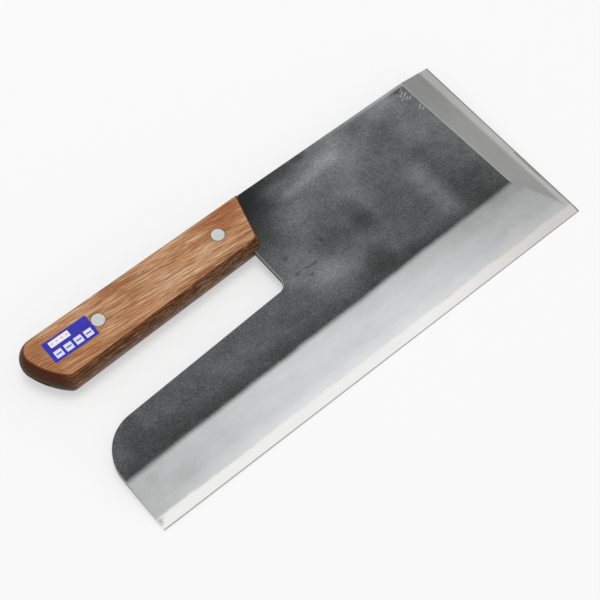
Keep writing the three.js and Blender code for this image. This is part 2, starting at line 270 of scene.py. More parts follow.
def inset(ring, amount):
    """The ring moved inwards, each side by what amount(normal) asks for."""
    ring = np.array(ring)
    along = np.roll(ring, -1, axis=0) - ring
    along /= np.linalg.norm(along, axis=1)[:, None]
    normal = np.stack([along[:, 1], -along[:, 0]], axis=1)
    by = np.array([amount(n) for n in normal])
    before, before_by = np.roll(normal, 1, axis=0), np.roll(by, 1)
    cross = before[:, 0] * normal[:, 1] - before[:, 1] * normal[:, 0]
    dx = (before_by * normal[:, 1] - by * before[:, 1]) / cross
    dy = (by * before[:, 0] - before_by * normal[:, 0]) / cross
    return ring - np.stack([dx, dy], axis=1)


def tang_outline():
    """The handle's outline moved inwards, furthest at the butt, and kept above the slot's floor."""
    further = TANG_BUTT_INSET - TANG_INSET
    ring = inset(handle_outline(), lambda n: TANG_INSET + further * max(0, -n[0]))
    return clipped(list(ring), SLOT_FLOOR + TANG_CLEARANCE)


def clipped(ring, floor):
    """The part of a ring above a level line."""
    kept = []
    for a, b in zip(ring, ring[1:] + ring[:1]):
        if a[1] >= floor:
            kept.append(a)
        if (a[1] >= floor) != (b[1] >= floor):
            kept.append(a + (b - a) * (floor - a[1]) / (b[1] - a[1]))
    return kept


# ---- blade ----

def long_bevel(x, y):
    width = BEVEL_WIDTH_AT_HEEL + BEVEL_RISE * x
    return EDGE_THICKNESS + (BLADE_THICKNESS - EDGE_THICKNESS) * y / width


def tip_bevel(x, y):
    width = TIP_BEVEL_WIDTH_AT_EDGE + TIP_SPREAD * y
    return TIP_THICKNESS + (BLADE_THICKNESS - TIP_THICKNESS) * (EDGE_LENGTH - x) / width


def face_height(x, y):
    """The height of the blade's upper face above its flat back. The tang thins towards the butt."""
    if y > SLOT_FLOOR and x < NOTCH[0]:
        return TANG_THICKNESS_AT_BUTT + (BLADE_THICKNESS - TANG_THICKNESS_AT_BUTT) * x / NOTCH[0]
    return min(BLADE_THICKNESS, long_bevel(x, y), tip_bevel(x, y))


def meeting_y(x):
    """Where the two bevels are level with each other, at one place along the edge."""
    low, high = 0.0, BLADE_HEIGHT
    for _ in range(HALVINGS):
        middle = (low + high) / 2
        if long_bevel(x, middle) < tip_bevel(x, middle):
            low = middle
        else:
            high = middle
    return low


def crease_lines():
    """The lines along which the blade's faces meet, and the steel's outlines, as rows of points."""
    xs = np.linspace(0, EDGE_LENGTH, RULE_STEPS + 1)
    tip_start = EDGE_LENGTH - TIP_BEVEL_WIDTH_AT_EDGE
    corner_x = (tip_start - TIP_SPREAD * BEVEL_WIDTH_AT_HEEL) / (1 + TIP_SPREAD * BEVEL_RISE)
    corner = np.array([corner_x, BEVEL_WIDTH_AT_HEEL + BEVEL_RISE * corner_x])
    last_x = EDGE_LENGTH - MITRE_END_GAP
    mitre = [np.array([x, meeting_y(x)]) for x in np.linspace(corner_x, last_x, RULE_STEPS)[1:]]
    mitre = [corner] + [p for p in mitre if p[1] > MITRE_END_Y]
    bevel = [np.array([x, BEVEL_WIDTH_AT_HEEL + BEVEL_RISE * x]) for x in xs if x < corner_x]
    bevel.append(corner)
    all_ys = np.linspace(0, BLADE_HEIGHT, RULE_STEPS + 1)
    ys = [corner[1]] + [y for y in all_ys if y > corner[1] + FIRST_STEP]
    tip = [np.array([tip_start - TIP_SPREAD * y, y]) for y in ys]
    lip_x = EDGE_LENGTH - TIP_LIP
    lip = [np.array(p) for p in ((0, EDGE_LIP), (lip_x, EDGE_LIP), (lip_x, STEEL_LAYER_HEIGHT))]
    layer = [np.array([0, STEEL_LAYER_HEIGHT]), np.array([EDGE_LENGTH, STEEL_LAYER_HEIGHT])]
    notch = [np.array([NOTCH[0], SLOT_FLOOR]), np.array([NOTCH[0], BLADE_HEIGHT])]
    return [bevel, tip, mitre, lip, layer, notch]


def blade_triangles():
    """Points and triangles of the whole blade and tang, split along every crease line."""
    rings = [blade_outline(), tang_outline()]
    rings += [list(inset(ring, lambda n: CHAMFER)) for ring in rings]
    points, edges, faces = [], [], []
    for ring in rings[:2]:
        faces.append(list(range(len(points), len(points) + len(ring))))
        points += ring
    for ring in rings[2:]:
        start = len(points)
        points += ring
        edges += [(start + i, start + (i + 1) % len(ring)) for i in range(len(ring))]
    for line in crease_lines():
        start = len(points)
        points += line
        edges += [(start + i, start + i + 1) for i in range(len(line) - 1)]
    made = delaunay_2d_cdt([Vector(p) for p in points], edges, faces, 1, TRIANGULATION_GAP, True)
    kept = [tuple(f) for f, inside in zip(made[2], made[5]) if inside]
    return [np.array(v) for v in made[0]], kept


def is_lip(middle):
    """Where the steel layer comes up to the face, along the edge and the tip."""
    in_tip = middle[0] > EDGE_LENGTH - TIP_LIP and middle[1] < STEEL_LAYER_HEIGHT
    return middle[1] < EDGE_LIP or in_tip


def iron_levels(middle):
    if is_lip(middle):
        return None
    return ("layer" if middle[1] < STEEL_LAYER_HEIGHT else "back", "face")


def steel_levels(middle):
    if middle[1] > STEEL_LAYER_HEIGHT:
        return None
    return ("back", "face" if is_lip(middle) else "layer")


def stepped_solid(name, points, triangles, levels, rim):
    """A closed body of columns over the triangles, each between the two levels it asks for."""
    heights = {
        "back": [0.0] * len(points),
        "layer": [STEEL_LAYER] * len(points),
        "face": [face_at(p, i in rim) for i, p in enumerate(points)],
    }
    used = {}
    columns = {}
    for t, tri in enumerate(triangles):
        pair = levels(sum(points[i] for i in tri) / 3)
        if pair is None:
            continue
        columns[t] = pair
        for i in tri:
            ends = [round(heights[level][i], HEIGHT_DIGITS) for level in pair]
            used.setdefault(i, set()).update(ends)
    vertices, index, faces = [], {}, []

    def vertex(i, z):
        key = (i, round(z, HEIGHT_DIGITS))
        if key not in index:
            index[key] = len(vertices)
            vertices.append((points[i][0], points[i][1], key[1]))
        return index[key]

    def climb(i, low, high):
        return [vertex(i, z) for z in sorted(used[i]) if low - LEVEL_GAP <= z <= high + LEVEL_GAP]

    sides = {}
    for t, (low, high) in columns.items():
        tri = triangles[t]
        faces.append([vertex(i, heights[high][i]) for i in tri])
        faces.append([vertex(i, heights[low][i]) for i in reversed(tri)])
        for a, b in zip(tri, tri[1:] + tri[:1]):
            sides[(a, b)] = (low, high)

    def wall(a, b, low, high):
        left = climb(a, heights[low][a], heights[high][a])
        right = climb(b, heights[low][b], heights[high][b])
        loop = list(dict.fromkeys(left[::-1] + right))
        if len(loop) > 2:
            faces.append(loop)

    for (a, b), (low, high) in sides.items():
        other = sides.get((b, a))
        if other is None:
            wall(a, b, low, high)
            continue
        if other[1] != high and high == "face":
            wall(a, b, other[1], high)
        if other[0] != low and low == "back":
            wall(a, b, low, other[0])
    return piece(name, vertices, faces, BLADE_CREASE)


def face_at(point, on_rim):
    height = face_height(point[0], point[1])
    return height - min(CHAMFER_DROP, CHAMFER_SHARE * height) if on_rim else height


def rim_of(triangles):
    """The points on the outside of the whole set of triangles."""
    directed = {(a, b) for tri in triangles for a, b in zip(tri, tri[1:] + tri[:1])}
    return {i for a, b in directed if (b, a) not in directed for i in (a, b)}


# ---- handle ----

def loft(name, rings, crease):
    count = len(rings[0])
    points = [p for ring in rings for p in ring]
    faces = [list(range(count))[::-1], [len(points) - count + i for i in range(count)]]
    for level in range(len(rings) - 1):
        for i in range(count):
            a, b = level * count + i, level * count + (i + 1) % count
            faces.append([a, b, b + count, a + count])
    return piece(name, points, faces, crease)


def arris_profile():
    """Height, dome share and extra inset up one half of the handle's side, to a rounded arris."""
    half = HANDLE_THICKNESS / 2
    slope = 2 * SIDE_DOME / half
    rise = math.atan2(1, slope)
    reach = ARRIS_RADIUS * math.tan(rise / 2)
    start = half - reach * math.sin(rise)
    heights = np.linspace(0, start, HANDLE_LEVELS // 2 + 1)
    profile = [(z, (z / half) ** 2, 0.0) for z in heights]
    share = (start / half) ** 2
    for s in np.linspace(0, 1, ARRIS_STEPS + 1)[1:]:
        z = (1 - s) ** 2 * start + (1 - (1 - s) ** 2) * half
        dome = (1 - s) ** 2 * share + (1 - (1 - s) ** 2)
        profile.append((z, dome, s ** 2 * reach))
    return profile


def dome_along(normal):
    """How far the handle bulges half way up a side that looks along normal."""
    end = BUTT_DOME if normal[0] < 0 else NECK_DOME
    return SIDE_DOME + (end - SIDE_DOME) * normal[0] ** 2


def handle_body():
    outline = handle_outline()
    half = arris_profile()
    profile = [(-z, dome, extra) for z, dome, extra in reversed(half[1:])] + half
    rings = []
    for z, dome, extra in profile:
        ring = with_eased_corners(inset(outline, lambda n: dome_along(n) * dome + extra + SHRINK))
        rings.append([(p[0], p[1], MID_PLANE + z) for p in ring])
    return loft("handle_wood", rings, HANDLE_CREASE)


def bar(name, x0, x1, y0, y1, low, high0, high1):
    """A straight bar whose top may slope from one end to the other."""
    rings = []
    for x, high in ((x0, high0), (x1, high1)):
        rings.append([(x, y0, low), (x, y1, low), (x, y1, high), (x, y0, high)])
    return loft(name, rings, HANDLE_CREASE)


def lathe(name, place, profile, crease):
    """A body turned about Z through a place, from radius and height pairs from axis to axis."""
    points, rows = [], []
    for radius, height in profile:
        if radius == 0:
            rows.append([len(points)])
            points.append((place[0], place[1], height))
            continue
        rows.append(list(range(len(points), len(points) + RIVET_SEGMENTS)))
        for i in range(RIVET_SEGMENTS):
            angle = 2 * math.pi * i / RIVET_SEGMENTS
            across, up = radius * math.cos(angle), radius * math.sin(angle)
            points.append((place[0] + across, place[1] + up, height))
    faces = []
    for low, high in zip(rows, rows[1:]):
        for i in range(RIVET_SEGMENTS):
            j = (i + 1) % RIVET_SEGMENTS
            below = [low[i % len(low)], low[j % len(low)]]
            above = [high[j % len(high)], high[i % len(high)]]
            faces.append(list(dict.fromkeys(below + above)))
    return piece(name, points, faces, crease)


def seat_cutter(name, place):
    """The room for one rivet: its shank, and a seat for each head."""
    head = RIVET_HEAD_RADIUS + RIVET_SEAT_GAP
    shank = RIVET_TUBE_RADIUS + RIVET_SEAT_GAP
    top = HANDLE_TOP - RIVET_HEAD_DEPTH - RIVET_SEAT_GAP
    bottom = HANDLE_BOTTOM + RIVET_HEAD_DEPTH + RIVET_SEAT_GAP
    below, above = HANDLE_BOTTOM - SEAT_OVERRUN, HANDLE_TOP + SEAT_OVERRUN
    profile = [(0, below), (head, below), (head, bottom), (shank, bottom)]
    profile += [(shank, top), (head, top), (head, above), (0, above)]
    return lathe(name, place, profile, RIVET_CREASE)


def cut_handle():
    """The handle with its slot, its open neck and its rivet seats cut."""
    body = handle_body()
    thinning = (BLADE_THICKNESS - TANG_THICKNESS_AT_BUTT) / NOTCH[0]
    at_end = TANG_THICKNESS_AT_BUTT - thinning * BEYOND + FIT
    high = BLADE_HEIGHT + BEYOND
    thick = BLADE_THICKNESS + FIT
    cutters = [
        bar("slot_cutter", -BEYOND, NOTCH[0], SLOT_FLOOR, high, -FIT, at_end, thick),
        bar("neck_cutter", NOTCH[0] - FIT, NOTCH[0] + 3 * BEYOND, 0, high, -FIT, thick, thick),
    ]
    cutters += [seat_cutter(f"{where}_seat_cutter", place) for where, place in RIVETS.items()]
    for cutter in cutters:
        cut = body.modifiers.new(cutter.name, "BOOLEAN")
        cut.operation = "DIFFERENCE"
        cut.solver = "EXACT"
        cut.object = cutter
    bpy.context.view_layer.update()
    graph = bpy.context.evaluated_depsgraph_get()
    mesh = bpy.data.meshes.new_from_object(body.evaluated_get(graph))
    for obj in [body, *cutters]:
        bpy.data.objects.remove(obj)
    mesh.name = "handle_wood"
    return placed("handle_wood", mesh, HANDLE_CREASE)


# ---- rivets and label ----

def head_profile(seat, face, outward):
    """A head from its seat to its slightly crowned face, with an eased rim."""
    part_way = EDGE_SHARE * RIVET_EDGE
    profile = [
        (RIVET_HEAD_RADIUS, seat),
        (RIVET_HEAD_RADIUS, face - outward * (RIVET_CROWN + RIVET_EDGE)),
        (RIVET_HEAD_RADIUS - part_way, face - outward * (RIVET_CROWN + part_way)),
        (RIVET_HEAD_RADIUS - RIVET_EDGE, face - outward * RIVET_CROWN),
    ]
    for share, drop in CROWN_SHARES:
        profile.append((RIVET_HEAD_RADIUS * share, face - outward * RIVET_CROWN * drop))
    return profile + [(0, face)]


def rivet_tube(where, place):
    seat = HANDLE_TOP - RIVET_HEAD_DEPTH
    mouth = HANDLE_BOTTOM + RIVET_HEAD_DEPTH + 2 * RIVET_CLEARANCE
    profile = [(0, seat - RIVET_CLEARANCE), (RIVET_BORE_RADIUS, seat - RIVET_CLEARANCE)]
    profile += [(RIVET_BORE_RADIUS, mouth), (RIVET_TUBE_RADIUS, mouth), (RIVET_TUBE_RADIUS, seat)]
    profile += head_profile(seat, HANDLE_TOP, 1)
    return lathe(f"{where}_rivet_tube", place, profile, RIVET_CREASE)


def rivet_pin(where, place):
    seat = HANDLE_BOTTOM + RIVET_HEAD_DEPTH
    end = HANDLE_TOP - RIVET_HEAD_DEPTH - 3 * RIVET_CLEARANCE
    profile = head_profile(seat, HANDLE_BOTTOM, -1)[::-1]
    profile += [(RIVET_PIN_RADIUS, seat), (RIVET_PIN_RADIUS, end), (0, end)]
    return lathe(f"{where}_rivet_pin", place, profile, RIVET_CREASE)


def label_film():
    half = np.array([LABEL_LENGTH, LABEL_WIDTH]) / 2 - LABEL_CORNER
    ring = []
    for quarter, (sx, sy) in enumerate(((1, 1), (-1, 1), (-1, -1), (1, -1))):
        centre = LABEL_CENTRE + half * np.array([sx, sy])
        start = quarter * math.pi / 2
        ring += arc(centre, LABEL_CORNER, start, start + math.pi / 2, CORNER_STEPS)
    levels = (HANDLE_TOP, HANDLE_TOP + LABEL_FILM)
    return loft("handle_label", [[(p[0], p[1], z) for p in ring] for z in levels], HANDLE_CREASE)


# ---- material building ----

class Look:
    """A Principled material whose patterns are in millimetres of the blade frame."""

    def __init__(self, name, metallic=0.0, specular=0.5):
        self.material = bpy.data.materials.new(name)
        self.material.use_nodes = True
        self.tree = self.material.node_tree
        self.tree.nodes.clear()
        output = self.tree.nodes.new("ShaderNodeOutputMaterial")
        self.shader = self.tree.nodes.new("ShaderNodeBsdfPrincipled")
        self.shader.inputs["Metallic"].default_value = metallic
        self.shader.inputs["Specular IOR Level"].default_value = specular
        self.tree.links.new(self.shader.outputs[0], output.inputs["Surface"])
        coordinates = self.tree.nodes.new("ShaderNodeTexCoord")
        mapping = self.tree.nodes.new("ShaderNodeMapping")
        mapping.vector_type = "TEXTURE"
        mapping.inputs["Location"].default_value = KNIFE.translation
        mapping.inputs["Rotation"].default_value = KNIFE.to_euler()
        mapping.inputs["Scale"].default_value = (MM, MM, MM)
        self.tree.links.new(coordinates.outputs["Object"], mapping.inputs["Vector"])
        self.point = mapping.outputs[0]
        split = self.tree.nodes.new("ShaderNodeSeparateXYZ")
        self.tree.links.new(self.point, split.inputs[0])
        self.x, self.y, self.z = split.outputs
        geometry = self.tree.nodes.new("ShaderNodeNewGeometry")
        facing = self.tree.nodes.new("ShaderNodeSeparateXYZ")
        self.tree.links.new(geometry.outputs["True Normal"], facing.inputs[0])
        self.normal_z = facing.outputs[2]

    def give(self, socket, value):
        if isinstance(value, bpy.types.NodeSocket):
            self.tree.links.new(value, socket)
        else:
            socket.default_value = value

    def stretch(self, vector, sx, sy, sz):
        node = self.tree.nodes.new("ShaderNodeVectorMath")
        node.operation = "MULTIPLY"
        self.give(node.inputs[0], vector)
        node.inputs[1].default_value = (sx, sy, sz)
        return node.outputs[0]

    def turned(self, degrees):
        node = self.tree.nodes.new("ShaderNodeVectorRotate")
        node.rotation_type = "Z_AXIS"
        self.give(node.inputs["Vector"], self.point)
        node.inputs["Angle"].default_value = math.radians(degrees)
        return node.outputs[0]

    def maths(self, operation, a, b=0.0, clamp=False):
        node = self.tree.nodes.new("ShaderNodeMath")
        node.operation = operation
        node.use_clamp = clamp
        self.give(node.inputs[0], a)
        self.give(node.inputs[1], b)
        return node.outputs[0]

    def add(self, *values):
        total = values[0]
        for value in values[1:]:
            total = self.maths("ADD", total, value)
        return total

    def sub(self, a, b):
        return self.maths("SUBTRACT", a, b)

    def mul(self, *values):
        total = values[0]
        for value in values[1:]:
            total = self.maths("MULTIPLY", total, value)
        return total

    def smooth(self, value, low, high):
        """0 below low, 1 above high, and eased between them. Low may be the larger one."""
        node = self.tree.nodes.new("ShaderNodeMapRange")
        node.interpolation_type = "SMOOTHSTEP"
        self.give(node.inputs["Value"], value)
        flip = low > high
        node.inputs["From Min"].default_value = high if flip else low
        node.inputs["From Max"].default_value = low if flip else high
        node.inputs["To Min"].default_value = 1.0 if flip else 0.0
        node.inputs["To Max"].default_value = 0.0 if flip else 1.0
        return node.outputs[0]

    def between(self, value, low, high, soft):
        """1 from low to high and 0 outside, with soft ends."""
        rise = self.smooth(value, low - soft, low + soft)
        return self.mul(rise, self.smooth(value, high + soft, high - soft))

    def noise(self, vector, detail=3.0, roughness=0.5, distortion=0.0):
        """Noise about 0, mostly within half a unit, with a feature about 1 unit across."""
        node = self.tree.nodes.new("ShaderNodeTexNoise")
        self.give(node.inputs["Vector"], vector)
        node.inputs["Scale"].default_value = 1.0
        node.inputs["Detail"].default_value = detail
        node.inputs["Roughness"].default_value = roughness
        node.inputs["Distortion"].default_value = distortion
        return self.sub(node.outputs["Fac"], 0.5)

    def grains(self, sx, sy, sz, detail=3.0, roughness=0.5, distortion=0.0, vector=None):
        source = self.point if vector is None else vector
        return self.noise(self.stretch(source, sx, sy, sz), detail, roughness, distortion)

    def blob(self, x, y, rx, ry, amount):
        """A soft oval patch at a place on the blade."""
        dx = self.mul(self.sub(self.x, x), 1 / rx)
        dy = self.mul(self.sub(self.y, y), 1 / ry)
        distance = self.maths("SQRT", self.add(self.mul(dx, dx), self.mul(dy, dy)))
        return self.mul(self.smooth(distance, 1.25, 0.15), amount)

    def stroke(self, x0, y0, x1, y1, width):
        """A thin soft line between two places on the blade."""
        run, climb = x1 - x0, y1 - y0
        square = run * run + climb * climb
        dx, dy = self.sub(self.x, x0), self.sub(self.y, y0)
        share = self.maths("ADD", self.mul(dx, run / square), self.mul(dy, climb / square), True)
        ox, oy = self.sub(dx, self.mul(share, run)), self.sub(dy, self.mul(share, climb))
        distance = self.maths("SQRT", self.add(self.mul(ox, ox), self.mul(oy, oy)))
        return self.smooth(distance, width, 0.3 * width)

    def ramp(self, value, *stops):
        node = self.tree.nodes.new("ShaderNodeValToRGB")
        self.give(node.inputs[0], value)
        elements = node.color_ramp.elements
        while len(elements) < len(stops):
            elements.new(0.5)
        for element, (place, colour) in zip(elements, stops):
            element.position = place
            element.color = (*colour, 1)
        return node.outputs[0]

    def blend(self, share, a, b):
        node = self.tree.nodes.new("ShaderNodeMix")
        node.data_type = "RGBA"
        self.give(node.inputs[0], share)
        self.give(node.inputs[6], (*a, 1) if isinstance(a, tuple) else a)
        self.give(node.inputs[7], (*b, 1) if isinstance(b, tuple) else b)
        return node.outputs[2]

    def shade(self, value, tint):
        """A grey of the given value, tinted."""
        node = self.tree.nodes.new("ShaderNodeCombineXYZ")
        for socket, share in zip(node.inputs, tint):
            self.give(socket, self.mul(value, share))
        return node.outputs[0]

    def bump(self, height, depth):
        """Relief whose height is in millimetres when depth is 1."""
        node = self.tree.nodes.new("ShaderNodeBump")
        self.give(node.inputs["Height"], height)
        node.inputs["Strength"].default_value = 1.0
        node.inputs["Distance"].default_value = depth * MM
        self.give(self.shader.inputs["Normal"], node.outputs[0])

    def paint(self, colour, roughness):
        self.give(self.shader.inputs["Base Color"], colour)
        self.give(self.shader.inputs["Roughness"], roughness)
        return self.material


def grey(value):
    return (value, value, value)


# ---- materials ----

# Clouds in the forge scale: place, half widths, and how much lighter or darker.
SCALE_CLOUDS = (
    (121, 92, 17, 21, -0.3),
    (122, 98, 10, 9, -0.2),
    (139, 102, 22, 6, -0.3),
    (157, 102, 5, 3, -0.2),
    (143, 89, 8, 3, 0.14),
    (153, 91, 9, 3.5, 0.13),
    (165, 93, 10, 5, 0.14),
    (132, 45, 16, 8, 0.2),
    (151, 38, 9, 9, -0.16),
    (158, 59, 6, 11, -0.12),
    (194, 51, 8, 19, 0.16),
    (210, 40, 15, 13, -0.16),
    (207, 97, 14, 7, 0.08),
    (176, 68, 10, 10, -0.06),
    (214, 58, 10, 14, -0.08),
    (82, 35, 14, 5, -0.06),
    (18, 31, 24, 7, -0.1),
    (98, 48, 12, 6, 0.08),
    (120, 56, 14, 16, 0.13),
    (130, 80, 12, 8, 0.1),
    (203, 54, 9, 10, -0.1),
    (15, 39, 10, 8, -0.09),
    (88, 32, 9, 5, -0.1),
    (35, 42, 8, 5, 0.08),
    (206, 100, 14, 4, 0.13),
    (176, 98, 10, 4, 0.08),
    (133, 72, 14, 12, 0.07),
    (203, 68, 12, 12, -0.04),
    (218, 101, 5, 2.5, -0.2),
    (166, 88, 22, 10, 0.05),
    (117, 55, 1.6, 1.1, -0.2),
    (122, 51, 1.8, 1.1, -0.2),
    (118, 64.5, 1.8, 1.4, -0.17),
)

# Light slanting scratches by the corner of the spine and the tip
SCRATCHES = (
    (220.8, 100.9, 219.0, 99.8),
    (220.1, 99.2, 216.9, 97.2),
    (220.9, 97.7, 216.1, 95.0),
    (219.7, 95.4, 218.1, 94.3),
    (221.0, 94.7, 219.6, 93.6),
    (221.5, 88.2, 219.4, 86.7),
    (221.7, 86.1, 220.7, 85.3),
)
SCRATCH_WIDTH = 0.45

# A faint broken ring in the scale, by the notch
RING_CENTRE = (125.5, 65.9)
RING_RADIUS = 11.5


def grinding(look):
    """Very fine lines along the edge, about 0."""
    return look.grains(0.06, 4.0, 4.0, 4, 0.7)


def streaked(look):
    """Grinding lines and broader streaks along the edge, about 0."""
    broad = look.grains(0.02, 0.5, 0.5, 2, 0.6)
    return look.add(look.mul(broad, 0.6), look.mul(grinding(look), 0.8))


def bevel_value(look):
    """Brightness of the ground bevel, with a painted reflection: highest towards the middle of the
    edge, lowest at the tip.
    """
    # Painted reflection: lighter towards the middle of the edge and near the edge, darker towards
    # the tip and near the bevel line
    rise = look.mul(look.smooth(look.x, -10, 90), 0.16)
    fall = look.mul(look.smooth(look.x, 135, 232), -0.22)
    outer = look.mul(look.smooth(look.y, 13, 6), look.smooth(look.x, 0, 30), 0.09)
    inner = look.mul(look.smooth(look.y, 17, 28), look.smooth(look.x, 60, 150), -0.11)
    cloud = look.mul(look.grains(0.06, 0.12, 0.12, 4, 0.6), 0.14)
    mottle = look.mul(look.grains(0.5, 1.3, 1.3, 4, 0.7), 0.14)
    blotch = look.add(look.blob(23, 13, 9, 5, -0.04), look.blob(9, 20, 4, 4, -0.03))
    streak = look.mul(streaked(look), 0.06)
    return look.add(0.47, rise, fall, outer, inner, cloud, mottle, blotch, streak)


def with_painted_edge_shade(look, colour):
    """A thin dark line painted along the cutting edge and the tip: painted shade at the edge."""
    # Painted shade along the edge and the tip, on faces that look upwards
    at_tip = look.smooth(look.x, EDGE_LENGTH - 1.0, EDGE_LENGTH - 0.5)
    painted_shade_line = look.maths("MAXIMUM", at_tip, look.smooth(look.y, 0.55, 0.2))
    upward = look.smooth(look.normal_z, 0.0, 0.3)
    return look.blend(look.mul(painted_shade_line, upward, 0.78), colour, (0.13, 0.125, 0.15))


def ground_value(look):
    """The bevel, with the bright hard band along the edge, which fades into it at a wavy line."""
    # Painted reflection: the bright band darkens towards the tip
    lengthwise = look.mul(look.smooth(look.x, 140, 238), -0.24)
    heel = look.add(look.blob(0.8, 3.6, 1.6, 2.0, -0.3), look.blob(2.2, 4.4, 2.2, 1.2, -0.12))
    cloud = look.mul(look.grains(0.06, 0.4, 0.4, 3, 0.5), 0.06)
    bright = look.add(0.85, lengthwise, heel, cloud, look.mul(streaked(look), 0.05))
    wave = look.add(
        look.mul(look.grains(0.035, 0.01, 0.01, 2), 2.2),
        look.mul(look.grains(0.4, 0.3, 0.3, 3), 0.9),
    )
    dull = look.smooth(look.add(look.y, wave), 4.5, 6.1)
    return look.add(look.mul(bright, look.sub(1.0, dull)), look.mul(bevel_value(look), dull))


def iron_look():
    look = Look("forged iron with scale", specular=0.22)
    # Where there is scale: above the long bevel, behind the tip bevel, and on the back
    wobble = look.add(
        look.mul(look.grains(0.05, 0.01, 0.01, 2), 1.3),
        look.mul(look.grains(0.6, 0.6, 0.6, 2), 0.5),
        look.blob(97, 28, 5, 8, 0.35),
    )
    above = look.sub(look.y, look.add(BEVEL_WIDTH_AT_HEEL, look.mul(look.x, BEVEL_RISE), wobble))
    front = look.sub(EDGE_LENGTH - TIP_BEVEL_WIDTH_AT_EDGE, look.mul(look.y, TIP_SPREAD))
    behind = look.sub(front, look.add(look.x, look.mul(wobble, 0.4)))
    inside = look.mul(look.smooth(above, -2.9, 0.6), look.smooth(behind, -0.2, 0.3))
    on_back = look.smooth(look.z, 0.3, 0.1)
    scaled = look.maths("MAXIMUM", inside, on_back)

    # How light the scale is
    cloud = look.add(
        look.mul(look.grains(0.028, 0.04, 0.03, 3, 0.5, 0.3), 0.4),
        look.mul(look.grains(0.09, 0.12, 0.12, 3, 0.6, 0.3), 0.26),
        look.mul(look.grains(0.45, 0.5, 0.5, 3, 0.7, 0.4), 0.2),
        look.mul(look.grains(1.1, 1.2, 1.0, 4, 0.75, 0.2), 0.7),
        look.mul(look.grains(2.3, 2.5, 2.2, 3, 0.8), 0.9),
    )
    # Painted light and shade across the scale: lighter towards the spine beyond the handle's neck,
    # darker just above the bevel line
    slope = look.add(
        look.mul(look.smooth(look.y, 45, 95), look.smooth(look.x, 120, 150), 0.13),
        look.mul(look.smooth(above, 8.0, 0.0), -0.14),
    )
    patches = look.add(*[look.blob(*patch) for patch in SCALE_CLOUDS])
    on_face = look.smooth(look.z, 1.0, 2.0)
    strokes = look.add(*[look.stroke(*ends, SCRATCH_WIDTH) for ends in SCRATCHES])
    strokes = look.mul(strokes, on_face)
    dx, dy = look.sub(look.x, RING_CENTRE[0]), look.sub(look.y, RING_CENTRE[1])
    from_centre = look.maths("SQRT", look.add(look.mul(dx, dx), look.mul(dy, dy)))
    off_line = look.maths("ABSOLUTE", look.sub(from_centre, look.add(RING_RADIUS, wobble)))
    broken = look.smooth(look.grains(0.25, 0.25, 0.25, 2), -0.08, 0.06)
    lower_part = look.smooth(look.y, 68.5, 66)
    groove = look.mul(look.smooth(off_line, 0.55, 0.1), lower_part, broken, on_face)
    tone = look.add(0.42, cloud, slope, patches, look.mul(strokes, 0.3), look.mul(groove, -0.2))
    scale_colour = look.ramp(
        tone,
        (0.0, (0.008, 0.010, 0.010)),
        (0.28, (0.034, 0.038, 0.037)),
        (0.5, (0.082, 0.086, 0.088)),
        (0.72, (0.155, 0.158, 0.165)),
        (1.0, (0.33, 0.335, 0.35)),
    )

    # The tip bevel, which meets the long one along a ragged mitre
    strip = look.smooth(look.add(look.x, look.mul(look.y, 0.02)), 235.6, 237.6)
    band = look.add(
        look.mul(strip, 0.15),
        look.mul(look.smooth(look.y, 60, 95), -0.05),
        look.mul(look.grains(0.3, 0.12, 0.2, 4, 0.6), 0.06),
        look.mul(look.grains(2.0, 1.2, 2.0, 3, 0.7), 0.06),
        0.31,
    )
    aspect = BEVEL_WIDTH_AT_TIP / TIP_BEVEL_WIDTH_AT_EDGE
    beyond_mitre = look.sub(look.mul(look.sub(EDGE_LENGTH, look.x), aspect), look.y)
    ragged = look.mul(look.grains(0.25, 0.25, 0.25, 2), 5.0)
    on_band = look.smooth(look.add(beyond_mitre, ragged), 4.0, -2.5)
    metal = look.shade(ground_value(look), (0.996, 1.0, 1.012))
    ground = look.blend(on_band, metal, look.shade(band, (1.0, 1.01, 0.97)))

    # Scale and ground metal together, then the pale line, the rubbed and eased edges and the sides;
    # the eased edges carry a painted highlight
    on_line = look.smooth(look.maths("ABSOLUTE", look.sub(behind, 0.1)), 0.5, 0.15)
    on_top = look.smooth(look.z, 2.0, 2.6)
    front_line = look.mul(on_line, look.smooth(above, -0.5, 0.5), on_top, 0.35)
    colour = look.blend(scaled, ground, scale_colour)
    colour = look.blend(front_line, colour, grey(0.5))
    rub = look.mul(look.smooth(look.x, 160, 215), look.smooth(look.y, 101.0, 102.2), 0.6)
    colour = look.blend(look.mul(rub, inside), colour, grey(0.34))
    # The eased edges are pale as worn bare metal, and this is also a painted highlight along them
    arris = look.mul(look.between(look.normal_z, 0.45, 0.93, 0.04), 0.7)
    colour = with_painted_edge_shade(look, look.blend(arris, colour, grey(0.5)))
    steep_side = look.smooth(look.maths("ABSOLUTE", look.normal_z), 0.4, 0.2)
    side_tone = look.add(0.11, look.mul(look.grains(0.5, 0.5, 3.0, 4, 0.6), 0.14))
    colour = look.blend(steep_side, colour, look.shade(side_tone, (1.0, 1.0, 1.02)))

    # Bare metal is shinier and finer than scale
    bare = look.mul(look.sub(1.0, scaled), look.sub(1.0, steep_side))
    look.give(look.shader.inputs["Metallic"], look.add(0.25, look.mul(bare, 0.75)))
    rough = look.add(0.34, look.mul(scaled, 0.14), look.mul(cloud, 0.12))
    relief = look.add(
        look.mul(scaled, look.grains(1.0, 1.1, 1.0, 5, 0.7, 0.2), 0.05),
        look.mul(scaled, look.grains(0.2, 0.22, 0.2, 3, 0.5), 0.12),
        look.mul(bare, grinding(look), 0.006),
    )
    look.bump(relief, 1.0)
    return look.paint(colour, rough)


